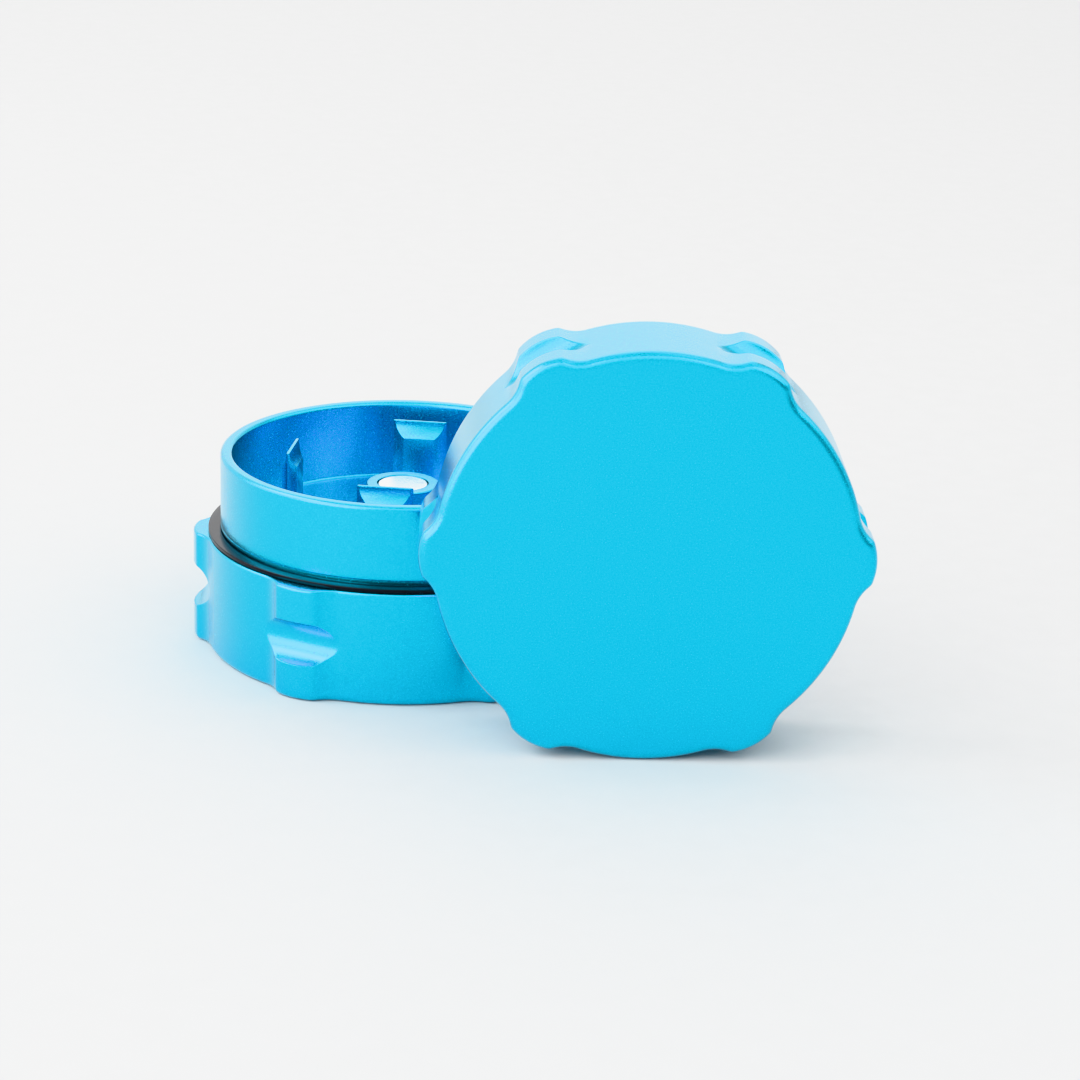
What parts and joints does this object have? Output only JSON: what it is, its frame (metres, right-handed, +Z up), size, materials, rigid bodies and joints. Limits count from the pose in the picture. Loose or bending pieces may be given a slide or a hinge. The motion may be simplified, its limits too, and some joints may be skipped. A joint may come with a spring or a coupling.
{
  "type": "twist pill crusher",
  "caption": "Palm-sized twist crusher: a lobed base with a toothed cup, and a matching loose lid that stands on its edge beside it.",
  "frame": {"origin": "centre of the base's flat underside, on the axis that base, cup and friction ring share", "axes": "+Z up along the base's axis, -Y the way the standing lid's blank face looks, +X towards the side on which the lid stands"},
  "size_m": [0.0834, 0.0667, 0.0506],
  "materials": {
    "anodised_aluminium": "fine bead-blasted, bright blue anodised",
    "nickel_plate": "satin nickel plate",
    "black_nylon": "smooth, slightly glossy"
  },
  "bodies": {
    "base": {"base_body": "anodised_aluminium", "base_magnet": "nickel_plate"},
    "turning_ring": {"friction_ring": "black_nylon"},
    "lid": {"lid_body": "anodised_aluminium", "lid_magnet": "nickel_plate"}
  },
  "joints": [
    {"name": "lid_turn", "type": "hinge", "parent": "base", "child": "turning_ring", "pos_m": [0, 0, 0.0148], "axis": [0, 0, 1], "continuous": true},
    {"name": "lid_swing", "type": "hinge", "parent": "turning_ring", "child": "lid", "pos_m": [0.01019, -0.01813, 0.01733], "axis": [-0.5317, -0.5989, 0.5989], "range_deg": [0, 124]}
  ]
}
